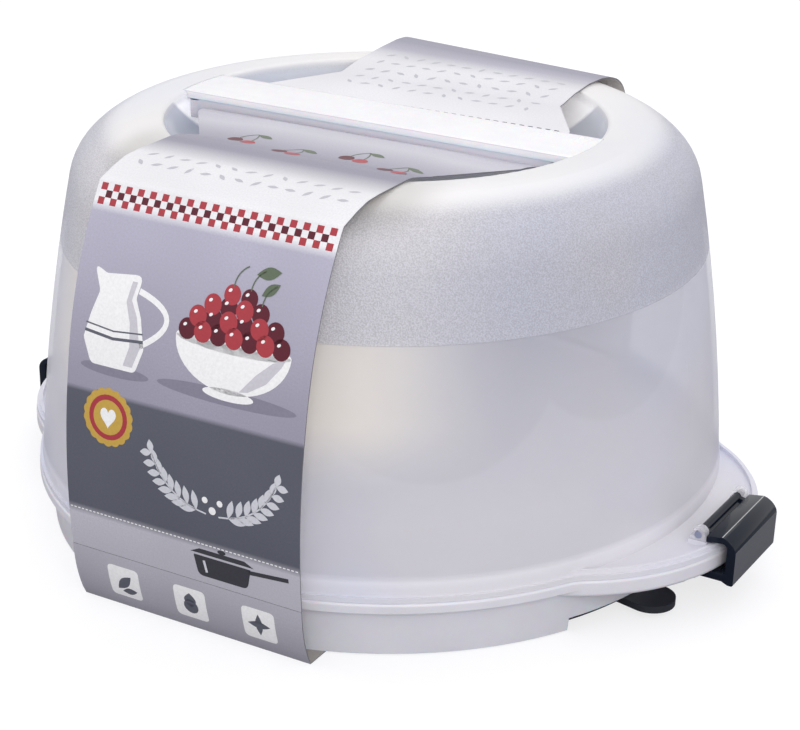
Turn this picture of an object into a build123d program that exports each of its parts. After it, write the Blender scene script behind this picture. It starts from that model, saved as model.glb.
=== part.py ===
from build123d import *
import os
from math import cos, radians, sin

# Cake carrier: a round base with two latch ears and a cooling compartment underneath, a
# translucent hood that lifts off, a handle bar snapped across the recess in the hood's top,
# two snap clips hinged on the hood, a turning cover for the compartment, and the printed
# card sleeve it is sold in. Millimetres, +Z up, X through the two clips, -Y towards the
# sleeve's front panel. The sleeve passes under the foot ring, so z = 0 is its underside.

# ---------------------------------------------------------------- driving dimensions
card_t = 0.5            # board of the sleeve
shell = 2.0             # wall of the hood
rim_r = 159.9           # lip of the base, and flange of the hood above it
rim_round = 1.6
ear_centre = 92.0       # centre of the arc that bounds each latch ear, on X
ear_r = 90.6            # radius of that arc
ear_blend = 18.0        # inside radius where an ear runs into the round rim

foot_r = 153.7          # foot ring where it stands
foot_top_r = 156.0      # foot ring under the lip
foot_wall = 2.2
lip_h = 22.3            # underside of the lip, above the foot
seat_h = 26.8           # seat of the hood, above the foot
plate_h = 27.6          # cake plate
plate_t = 2.2
ridge_h = 30.6          # ring on the plate that centres the hood
ridge_r = 153.2         # outside of that ring
ear_skirt_h = 18.6      # lower edge of an ear's skirt
ear_wall = 2.4
notch_half = 28.0       # half angle of the two notches in the foot, degrees
notch_h = 6.0

flange_gap = 0.1        # hood stands this far above the seat in the model
flange_t = 2.2
flange_in = 0.4         # the flange stands this far inside the lip
bead_t = 1.8            # second step of the flange
bead_in = 1.7
bead_w = 1.6
cove_h = 36.5           # where the flange has run out into the wall
wall_foot_r = 158.2     # hood wall at the flange
crown_h = 184.4         # highest circle of the hood
recess_r = 97.0         # round recess in the hood's top
recess_rim_h = 184.0
recess_foot_r = 94.5
recess_floor_h = 157.0
recess_round = 6.0

bar_half = 16.0         # half width of the handle bar
bar_depth = 12.0
bar_wall = 2.4
bar_lap = 2.1           # how far the bar's top reaches over the recess wall
bar_lap_t = 3.0
bar_seam = 0.15         # clearance round the bar's ends and tabs
socket_end = 104.0      # inner end of the two sockets that hold the bar
socket_half = 19.0
tab_half = 12.0
tab_h = 176.5           # middle of the snap tabs
tab_t = 3.2
barb = 0.9

pin_x = 171.05          # hinge pin of each clip
pin_h = 34.0
pin_r = 1.7
pin_play = 0.05
lug_y = 22.0            # middle of each hinge lug
lug_w = 4.4
lug_r = 3.2

clip_half = 23.75       # half width of a clip
clip_out = 188.2        # outer face
clip_in = 184.2         # inner face of the outer wall
clip_top_h = 36.3
clip_top_t = 4.0
clip_round = 4.6
hook_h = 15.4           # top of the hook that goes under the ear
hook_t = 2.4
hook_tip = 168.5

cover_r = 150.6         # cover of the cooling compartment
cover_h = 2.4
cover_t = 2.0
cover_rim_h = 6.4
cover_rest = -12.5      # where its two tabs stand, degrees from X
cover_turn = 25.0       # how far it turns to come free
tab_reach = 171.0
tab_w = 21.0
tab_thick = 3.2
lug_half = 6.0          # half angle of a bayonet lug, degrees

sleeve_half = 57.4      # half width of the sleeve
sleeve_disc_r = 81.5    # round part of the sleeve that lies in the recess
sleeve_cut_h = 27.0     # where the sleeve is slit to open the carrier
sleeve_skew = 0.9       # the sleeve sits a little askew, degrees
sleeve_shift = -0.25

os.makedirs("parts", exist_ok=True)


# ---------------------------------------------------------------- shared planes and outlines
section = Plane(origin=(0, 0, card_t), x_dir=(1, 0, 0), z_dir=(0, -1, 0))   # radius, height
side_section = Plane(origin=(0, 0, card_t), x_dir=(0, 1, 0), z_dir=(1, 0, 0))   # Y, height


def level(height):
    """Horizontal plane at a height above the foot ring."""
    return Plane.XY.offset(card_t + height)


def across(y):
    """Upright plane at a given Y, with X to the right and height upwards."""
    return Plane(origin=(0, y, card_t), x_dir=(1, 0, 0), z_dir=(0, -1, 0))


def rim_outline(inset=0.0):
    """Plan of the rim with its two ears, moved inwards by inset."""
    with BuildSketch() as outline:
        Circle(rim_r - inset)
        with Locations((ear_centre, 0), (-ear_centre, 0)):
            Circle(ear_r - inset)
        corners = [v for v in outline.vertices() if abs(v.Y) > ear_r / 2 and abs(v.X) > ear_centre]
        fillet(corners, radius=ear_blend + inset)
    return outline.sketch


def sector(inner, outer, middle, half):
    """Ring sector between two radii, half degrees to each side of middle."""
    reach = 2 * outer
    with BuildSketch() as piece:
        Circle(outer)
        Circle(inner, mode=Mode.SUBTRACT)
        with BuildLine():
            Polyline(
                (0, 0),
                (reach * cos(radians(middle - half)), reach * sin(radians(middle - half))),
                (reach * cos(radians(middle + half)), reach * sin(radians(middle + half))),
                close=True,
            )
        make_face(mode=Mode.INTERSECT)
    return piece.sketch


# ---------------------------------------------------------------- base
lip_plan = rim_outline()
lip_inner_plan = rim_outline(ear_wall)
bayonet_angles = [45, 135, 225, 315]

with BuildPart() as base:
    # plate, centring ridge and foot ring
    with BuildSketch(section):
        with BuildLine():
            Polyline(
                (0, plate_h),
                (ridge_r - 3.0, plate_h),
                (ridge_r - 2.0, ridge_h),
                (ridge_r, ridge_h),
                (ridge_r + 0.6, seat_h),
                (foot_top_r, seat_h),
                (foot_top_r, lip_h),
                (foot_r, 0),
                (foot_r - foot_wall, 0),
                (foot_top_r - foot_wall, lip_h - 1.0),
                (ridge_r - 3.0, plate_h - plate_t),
                (0, plate_h - plate_t),
                close=True,
            )
        make_face()
    revolve(axis=Axis.Z)
    # flat of the rim and the ears, with the lip that runs round both
    with BuildSketch(level(seat_h - plate_t)):
        add(lip_plan)
        Circle(foot_top_r - 1.0, mode=Mode.SUBTRACT)
    extrude(amount=plate_t)
    with BuildSketch(level(lip_h)):
        add(lip_plan)
        add(lip_inner_plan, mode=Mode.SUBTRACT)
    extrude(amount=seat_h - lip_h)
    lip_top = [
        e
        for e in base.edges().filter_by(GeomType.CIRCLE)
        if abs(e.center().Z - card_t - seat_h) < 0.01
        and min(abs(e.radius - r) for r in (rim_r, ear_r, ear_blend)) < 0.01
    ]
    fillet(lip_top, radius=rim_round)
    # deeper skirt round each ear, which the clip hooks under
    with BuildSketch(level(ear_skirt_h)):
        with Locations((ear_centre, 0), (-ear_centre, 0)):
            Circle(ear_r)
        with Locations((ear_centre, 0), (-ear_centre, 0)):
            Circle(ear_r - ear_wall, mode=Mode.SUBTRACT)
        Circle(foot_top_r - 0.8, mode=Mode.SUBTRACT)
    extrude(amount=seat_h - ear_skirt_h - plate_t)
    skirt_low = [
        e
        for e in base.edges().filter_by(GeomType.CIRCLE)
        if abs(e.center().Z - card_t - ear_skirt_h) < 0.01 and abs(e.radius - ear_r) < 0.01
    ]
    fillet(skirt_low, radius=2.2)
    # ribs under the ears
    for side in (-1, 1):
        for y in (-32, 0, 32):
            with BuildSketch(level(ear_skirt_h + 2.5)):
                with Locations((side * (ear_centre + ear_r / 2 + 20), y)):
                    Rectangle(50, 1.8)
                with Locations((side * ear_centre, 0)):
                    Circle(ear_r - 1.0, mode=Mode.INTERSECT)
                Circle(foot_top_r - 1.0, mode=Mode.SUBTRACT)
            extrude(amount=seat_h - plate_t - ear_skirt_h - 2.5)
    # notches that let the cover's tabs out
    for middle in (0, 180):
        with BuildSketch(level(0)):
            add(sector(foot_r - 6.0, foot_r + 6.0, middle, notch_half))
        extrude(amount=notch_h, mode=Mode.SUBTRACT)
    # bayonet lugs that carry the cover, and gussets that stop it rising
    for middle in bayonet_angles:
        with BuildSketch(level(0.7)):
            add(sector(cover_r - 3.0, foot_r - 1.0, middle, lug_half))
        extrude(amount=1.4)
    for middle in range(15, 360, 30):
        with BuildSketch(level(cover_rim_h + 0.6)):
            add(sector(cover_r - 3.5, foot_top_r - 1.5, middle, 0.4))
        extrude(amount=plate_h - plate_t - cover_rim_h - 0.8)
base.part.label = "base"

export_step(base.part, "parts/base.step")


# ---------------------------------------------------------------- hood
flange_h = seat_h + flange_gap
flange_top_h = flange_h + flange_t
bead_top_h = flange_top_h + bead_t
rebate_h = recess_rim_h - bar_lap_t
lap_r = recess_r + bar_lap
slot_half = tab_half + bar_seam
slot_t = tab_t + 2 * bar_seam
flange_plan = rim_outline(flange_in)
bead_plan = rim_outline(bead_in)
bead_inner_plan = rim_outline(bead_in + bead_w)

with BuildPart() as hood:
    # one wall thickness, drawn along the outside and turned round the axis
    with BuildSketch(section):
        with BuildLine():
            wall_line = ThreePointArc((wall_foot_r, flange_h), (150.1, 100.0), (139.3, 160.0))
            shoulder = TangentArc(wall_line @ 1, (131.4, 174.0), tangent=wall_line % 1)
            crown = TangentArc(shoulder @ 1, (112.6, 183.6), tangent=shoulder % 1)
            top = TangentArc(crown @ 1, (recess_r + 2.0, recess_rim_h), tangent=crown % 1)
            edge = ThreePointArc(
                top @ 1,
                (recess_r + 0.6, recess_rim_h - 0.6),
                (recess_r, recess_rim_h - 2.0),
            )
            recess_wall = Line(edge @ 1, (recess_foot_r, recess_floor_h + recess_round))
            round_in = TangentArc(
                recess_wall @ 1,
                (recess_foot_r - recess_round, recess_floor_h),
                tangent=recess_wall % 1,
            )
            Line(round_in @ 1, (0, recess_floor_h))
            offset(amount=shell, side=Side.LEFT)
        make_face()
        with Locations((wall_foot_r, flange_h)):
            Rectangle(4 * shell, 2 * shell, align=(Align.CENTER, Align.MAX), mode=Mode.SUBTRACT)
    revolve(axis=Axis.Z)
    # stepped flange that follows the rim and the ears
    with BuildSketch(level(flange_h)):
        add(flange_plan)
        Circle(wall_foot_r - shell / 2, mode=Mode.SUBTRACT)
    extrude(amount=flange_t)
    with BuildSketch(level(flange_top_h)):
        add(bead_plan)
        add(bead_inner_plan, mode=Mode.SUBTRACT)
        Circle(wall_foot_r - shell / 2, mode=Mode.SUBTRACT)
    extrude(amount=bead_t)
    with BuildSketch(section):
        with BuildLine():
            cove = ThreePointArc(
                (rim_r - bead_in, bead_top_h),
                (wall_foot_r - 0.1, bead_top_h + 2.0),
                (wall_foot_r - 0.9, cove_h),
            )
            Polyline(
                cove @ 1,
                (wall_foot_r - shell, cove_h),
                (wall_foot_r - shell / 2, flange_top_h),
                (rim_r - bead_in, flange_top_h),
                cove @ 0,
            )
        make_face()
    revolve(axis=Axis.Z)
    # lugs that hold the clips' pins, each a snap eye open towards the wall
    for side in (-1, 1):
        for y in (-lug_y, lug_y):
            with BuildSketch(across(y)):
                with Locations((side * pin_x, pin_h)):
                    Circle(lug_r)
                with BuildLine():
                    Polyline(
                        (side * (pin_x - lug_r - 1.2), flange_top_h - 0.2),
                        (side * (pin_x + lug_r + 1.2), flange_top_h - 0.2),
                        (side * (pin_x + lug_r), pin_h),
                        (side * (pin_x - lug_r), pin_h),
                        close=True,
                    )
                make_face()
                with Locations((side * pin_x, pin_h)):
                    Circle(pin_r + pin_play, mode=Mode.SUBTRACT)
                with Locations((side * (pin_x - lug_r), pin_h + 0.6)):
                    Rectangle(2 * lug_r, 1.6 * pin_r, mode=Mode.SUBTRACT)
            extrude(amount=lug_w / 2, both=True)
    # sockets under the top for the handle bar, a rebate for its ends and slots for its tabs
    for side in (-1, 1):
        with BuildSketch(level(tab_h - 5.0)):
            with Locations((side * (socket_end - 7.0), 0)):
                Rectangle(14.0, 2 * socket_half)
            Circle(recess_r, mode=Mode.SUBTRACT)
        extrude(amount=recess_rim_h - shell / 2 - tab_h + 5.0)
        with BuildSketch(level(rebate_h)):
            with Locations((side * lap_r, 0)):
                Rectangle(14.0, 2 * (bar_half + bar_seam))
            Circle(lap_r + bar_seam, mode=Mode.INTERSECT)
        extrude(amount=2 * bar_lap_t, mode=Mode.SUBTRACT)
        with BuildSketch(level(tab_h - slot_t / 2)):
            with Locations((side * socket_end, 0)):
                Rectangle(24.0, 2 * slot_half)
        extrude(amount=slot_t, mode=Mode.SUBTRACT)
hood.part.label = "hood"
export_step(hood.part, "parts/hood.step")


# ---------------------------------------------------------------- handle bar
bar_low_h = recess_rim_h - bar_depth
bar_body_r = recess_foot_r + 0.9
channel_half = bar_half - bar_wall
channel_end = bar_body_r - 6.0

with BuildPart() as handle_bar:
    with BuildSketch(level(bar_low_h)):
        Rectangle(2 * recess_r, 2 * bar_half)
        Circle(bar_body_r, mode=Mode.INTERSECT)
    extrude(amount=bar_depth)
    with BuildSketch(level(rebate_h + 0.05)):
        Rectangle(2 * recess_r + 8.0, 2 * bar_half)
        Circle(lap_r, mode=Mode.INTERSECT)
    extrude(amount=bar_lap_t - 0.05)
    fillet(handle_bar.edges().filter_by(Axis.X).group_by(Axis.Z)[-1], radius=0.8)
    # hollow underside with cross ribs
    with BuildSketch(level(bar_low_h)):
        Rectangle(2 * channel_end, 2 * channel_half)
    extrude(amount=bar_depth - bar_wall, mode=Mode.SUBTRACT)
    with BuildSketch(level(bar_low_h + 2.5)):
        with GridLocations(2 * channel_end / 8, 0, 7, 1):
            Rectangle(1.8, 2 * channel_half + 1.0)
    extrude(amount=bar_depth - bar_wall - 2.0)
    fillet(handle_bar.edges().filter_by(Axis.X).group_by(Axis.Z)[0], radius=0.8)
    # snap tabs through the sockets
    for side in (-1, 1):
        with BuildSketch(level(tab_h - tab_t / 2)):
            with Locations((side * (socket_end + 1.6 - 7.0), 0)):
                Rectangle(14.0, 2 * tab_half)
        extrude(amount=tab_t)
        with BuildSketch(across(0)):
            with BuildLine():
                Polyline(
                    (side * (socket_end + 0.1), tab_h),
                    (side * (socket_end + 0.1), tab_h + tab_t / 2 + barb),
                    (side * (socket_end + 1.6), tab_h + tab_t / 2),
                    (side * (socket_end + 1.6), tab_h),
                    close=True,
                )
            make_face()
        extrude(amount=tab_half, both=True)
handle_bar.part.label = "handle_bar"
export_step(handle_bar.part, "parts/handle_bar.step")


# ---------------------------------------------------------------- clips
knuckle_half = lug_y - lug_w / 2 - 0.5
eye_clear = pin_x + lug_r + 1.1


def clip(side):
    """Snap clip on the side of X given by side, with its hinge pin moulded on."""
    with BuildPart() as body:
        with BuildSketch(across(0)) as profile:
            with BuildLine():
                Polyline(
                    (side * eye_clear, clip_top_h),
                    (side * clip_out, clip_top_h),
                    (side * clip_out, hook_h - hook_t),
                    (side * hook_tip, hook_h - hook_t),
                    (side * hook_tip, hook_h),
                    (side * clip_in, hook_h),
                    (side * clip_in, clip_top_h - clip_top_t),
                    (side * eye_clear, clip_top_h - clip_top_t),
                    close=True,
                )
            make_face()
            corners = profile.vertices()
            fillet(corners.sort_by_distance((side * clip_out, clip_top_h, 0))[0], clip_round)
            corners = profile.vertices()
            fillet(corners.sort_by_distance((side * clip_out, hook_h - hook_t, 0))[0], 1.2)
            corners = profile.vertices()
            fillet(corners.sort_by_distance((side * clip_in, clip_top_h - clip_top_t, 0))[0], 1.8)
            corners = profile.vertices()
            fillet(corners.sort_by_distance((side * clip_in, hook_h, 0))[0], 1.2)
        extrude(amount=clip_half, both=True)
        # knuckle between the lugs, and the pin that runs through them
        with BuildSketch(across(0)):
            with BuildLine():
                Polyline(
                    (side * pin_x, pin_h - 1.2),
                    (side * (eye_clear + 0.5), clip_top_h - clip_top_t),
                    (side * (eye_clear + 0.5), clip_top_h - 0.9),
                    (side * pin_x, pin_h + 1.2),
                    close=True,
                )
            make_face()
        extrude(amount=knuckle_half, both=True)
        with BuildSketch(across(0)):
            with Locations((side * pin_x, pin_h)):
                Circle(pin_r)
        extrude(amount=lug_y + lug_w / 2, both=True)
        # sunk panel on the top, left plain
        with BuildSketch(level(clip_top_h - 0.4)):
            with Locations((side * (eye_clear + clip_out - clip_round) / 2, 0)):
                Rectangle(clip_out - clip_round - eye_clear - 1.6, 2 * clip_half - 7.0)
        extrude(amount=1.0, mode=Mode.SUBTRACT)
    return body.part


for name, side in (("clip_left", -1), ("clip_right", 1)):
    one = clip(side)
    one.label = name
    export_step(one, f"parts/{name}.step")


# ---------------------------------------------------------------- compartment cover
trough_h = 12.0
trough_t = 2.0


def turned(height):
    """Horizontal plane at a height, turned to where the cover's tabs stand."""
    angle = radians(cover_rest)
    return Plane(
        origin=(0, 0, card_t + height), x_dir=(cos(angle), sin(angle), 0), z_dir=(0, 0, 1)
    )


with BuildPart() as compartment_cover:
    with BuildSketch(turned(cover_h)):
        Circle(cover_r)
    extrude(amount=cover_t)
    with BuildSketch(turned(cover_h)):
        Circle(cover_r)
        Circle(cover_r - cover_t, mode=Mode.SUBTRACT)
    extrude(amount=cover_rim_h - cover_h)
    # tabs with round ends
    with BuildSketch(turned(cover_h)):
        SlotOverall(2 * tab_reach, tab_w)
        Circle(cover_r - cover_t, mode=Mode.SUBTRACT)
    extrude(amount=tab_thick)
    # grip: a long trough with a bar down the middle
    with BuildSketch(turned(cover_h)):
        SlotOverall(136.0, 44.0)
    extrude(amount=trough_h + trough_t)
    with BuildSketch(turned(cover_h)):
        SlotOverall(136.0 - 2 * trough_t, 44.0 - 2 * trough_t)
    extrude(amount=trough_h, mode=Mode.SUBTRACT)
    with BuildSketch(turned(cover_h + 1.0)):
        Rectangle(134.0, 6.0)
    extrude(amount=trough_h - 0.5)
    # gaps in the edge that pass the bayonet lugs when it is turned free
    for middle in bayonet_angles:
        with BuildSketch(level(cover_h)):
            add(sector(cover_r - 4.0, cover_r + 1.0, middle - cover_turn, lug_half + 1.5))
        extrude(amount=cover_rim_h - cover_h, mode=Mode.SUBTRACT)
compartment_cover.part.label = "compartment_cover"
export_step(compartment_cover.part, "parts/compartment_cover.step")


# ---------------------------------------------------------------- card sleeve
sleeve_across = Vector(1, 0, 0).rotate(Axis.Z, sleeve_skew)
sleeve_along = Vector(0, 1, 0).rotate(Axis.Z, sleeve_skew)


def sleeve_section(x):
    """Upright plane along the sleeve, at a distance across it: depth, height above the foot."""
    origin = sleeve_across * (x + sleeve_shift) + Vector(0, 0, card_t)
    return Plane(origin=origin, x_dir=sleeve_along, z_dir=sleeve_across)


def lean(left, right, x):
    """Point of the sleeve's line at x, between its places at the left and the right edge."""
    share = (x / sleeve_half + 1) / 2
    return tuple(a + (b - a) * share for a, b in zip(left, right))


def upper_card(x):
    """Cut through the card from the rim up, over the top and down; the back bows to the left."""
    with BuildSketch(sleeve_section(x)) as cut:
        with BuildLine():
            front_low = ThreePointArc((-160.6, sleeve_cut_h + 0.2), (-161.9, 54.0), (-157.5, 106.0))
            front_high = TangentArc(front_low @ 1, (-130.3, 179.3), tangent=front_low % 1)
            over = Polyline(
                front_high @ 1,
                (-121.0, 182.4),
                (-113.0, 184.4),
                (-104.0, 184.8),
                (-79.5, 184.7),
                (-62.5, 181.4),
                (-24.0, 180.4),
                (-18.4, 170.8),
                (18.4, 170.8),
                (24.0, 180.4),
                (60.0, 181.6),
            )
            back = Polyline(
                over @ 1,
                lean((75.0, 183.9), (73.0, 183.8), x),
                lean((95.0, 185.3), (89.0, 184.9), x),
                lean((112.0, 186.0), (103.0, 184.3), x),
                lean((122.0, 185.4), (113.0, 182.6), x),
                lean((130.0, 182.4), (121.0, 180.0), x),
                lean((137.0, 176.0), (127.5, 176.0), x),
                lean((142.5, 166.0), (134.0, 167.0), x),
                lean((148.5, 150.0), (143.5, 150.0), x),
                lean((153.0, 132.0), (151.0, 130.0), x),
                (157.5, 106.0),
            )
            ThreePointArc(back @ 1, (161.9, 54.0), (160.6, sleeve_cut_h + 0.2))
            offset(amount=card_t, side=Side.LEFT, kind=Kind.INTERSECTION)
        make_face()
    return cut.sketch


with BuildPart() as sleeve_upper:
    for x in (-sleeve_disc_r, sleeve_disc_r):
        add(upper_card(x))
    loft(ruled=True)
    with BuildSketch(Plane(origin=(sleeve_shift, 0, 0), x_dir=sleeve_across, z_dir=(0, 0, 1))):
        Rectangle(2 * sleeve_half, 2 * rim_r + 20.0)
        Circle(sleeve_disc_r)
    extrude(amount=card_t + crown_h + 10.0, mode=Mode.INTERSECT)
sleeve_upper.part.label = "sleeve_upper"
export_step(sleeve_upper.part, "parts/sleeve_upper.step")

# bottom panel that the base stands on, with the walls up to the rim
with BuildPart() as sleeve_lower:
    with BuildSketch(sleeve_section(0)):
        with BuildLine():
            front = ThreePointArc((-160.6, sleeve_cut_h), (-158.5, 12.0), (-154.1, 0))
            floor = Line(front @ 1, (154.1, 0))
            ThreePointArc(floor @ 1, (158.5, 12.0), (160.6, sleeve_cut_h))
            offset(amount=card_t, side=Side.RIGHT, kind=Kind.INTERSECTION)
        make_face()
    extrude(amount=sleeve_half, both=True)
sleeve_lower.part.label = "sleeve_lower"
export_step(sleeve_lower.part, "parts/sleeve_lower.step")
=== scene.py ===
"""Cake carrier with a lift-off hood: the looks of every piece, laid out as an add-on."""
from functools import cache
from math import atan2, ceil, cos, hypot, pi, radians, sin, sqrt, tan

import bmesh
import bpy
from bpy.props import FloatProperty, FloatVectorProperty, PointerProperty
from bpy.types import Operator, Panel, PropertyGroup
from mathutils import Matrix, Vector


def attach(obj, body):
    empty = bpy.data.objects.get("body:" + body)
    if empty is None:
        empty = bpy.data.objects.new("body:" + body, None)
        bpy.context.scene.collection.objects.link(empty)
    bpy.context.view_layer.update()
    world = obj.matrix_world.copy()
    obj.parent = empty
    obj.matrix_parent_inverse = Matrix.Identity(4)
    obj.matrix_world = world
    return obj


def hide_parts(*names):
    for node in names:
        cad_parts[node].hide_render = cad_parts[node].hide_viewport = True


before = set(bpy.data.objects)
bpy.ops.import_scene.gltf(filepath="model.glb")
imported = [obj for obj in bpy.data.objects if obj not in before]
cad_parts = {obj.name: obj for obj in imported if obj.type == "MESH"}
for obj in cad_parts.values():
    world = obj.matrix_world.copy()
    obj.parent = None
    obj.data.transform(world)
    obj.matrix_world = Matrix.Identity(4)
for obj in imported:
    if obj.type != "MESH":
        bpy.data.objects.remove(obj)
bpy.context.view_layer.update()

bl_info = {
    "name": "Cake carrier",
    "version": (1, 0, 0),
    "blender": (4, 5, 0),
    "location": "View3D > Sidebar > Carrier",
    "description": "Builds the visible pieces of a round cake carrier around its packed solids",
    "category": "Object",
}

# Sizes are in millimetres, with +Z up, X through the two clips and -Y towards the front panel.
MM = 0.001
CARD = 0.5              # board of the sleeve, which the carrier stands on; heights start above it
SLEEVE_HALF = 57.4      # half width of the sleeve
DISC_R = 81.5           # round part of the sleeve that lies in the recess
SKEW = radians(0.9)     # the sleeve sits a little askew,
SHIFT = -0.25           # and a little to the left
CUT_H = 27.0            # where the sleeve is slit to open the carrier
BULGE_Y = 161.88        # how far the sleeve stands off where it bulges over the flange
PIN_X, PIN_H = 171.05, 34.0     # hinge pin of each clip
SHARP = radians(30)     # edges that bend by more than this are rounded


# ---------------------------------------------------------------- colours and nodes
def linear(code):
    """sRGB hex colour as linear RGBA."""
    channels = [int(code[i:i + 2], 16) / 255 for i in (1, 3, 5)]
    return tuple(c / 12.92 if c <= 0.04045 else ((c + 0.055) / 1.055) ** 2.4
                 for c in channels) + (1,)


def add_node(tree, kind, inputs=None, **settings):
    """Adds a node with its settings and inputs. An input is a value, or the socket that it is
    linked to, or the node whose first live output that is."""
    node = tree.nodes.new(kind)
    for name, value in settings.items():
        setattr(node, name, value)
    for key, value in (inputs or {}).items():
        if isinstance(value, bpy.types.Node):
            value = next(socket for socket in value.outputs if socket.enabled)
        if isinstance(value, bpy.types.NodeSocket):
            tree.links.new(value, node.inputs[key])
        else:
            node.inputs[key].default_value = value
    return node


def new_material(name):
    """An empty node material and its tree."""
    material = bpy.data.materials.new(name)
    material.use_nodes = True
    material.node_tree.nodes.clear()
    return material, material.node_tree


def mottled(tree, colour, pattern, weakest, strongest, low=0.3, high=0.7):
    """A colour that wanders between two strengths as a pattern goes from low to high."""
    strength = add_node(tree, "ShaderNodeMapRange", {
        "Value": pattern, "From Min": low, "From Max": high,
        "To Min": weakest, "To Max": strongest})
    return add_node(tree, "ShaderNodeVectorMath", {0: colour, "Scale": strength},
                    operation="SCALE")


def set_ramp(node, stops):
    """Gives a colour ramp its stops, as (position, colour)."""
    ramp = node.color_ramp
    while len(ramp.elements) < len(stops):
        ramp.elements.new(1.0)
    for element, (position, colour) in zip(ramp.elements, stops):
        element.position = position
        element.color = colour


def colours():
    return bpy.context.scene.carrier_colours


def sizes():
    return bpy.context.scene.carrier_sizes


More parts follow.
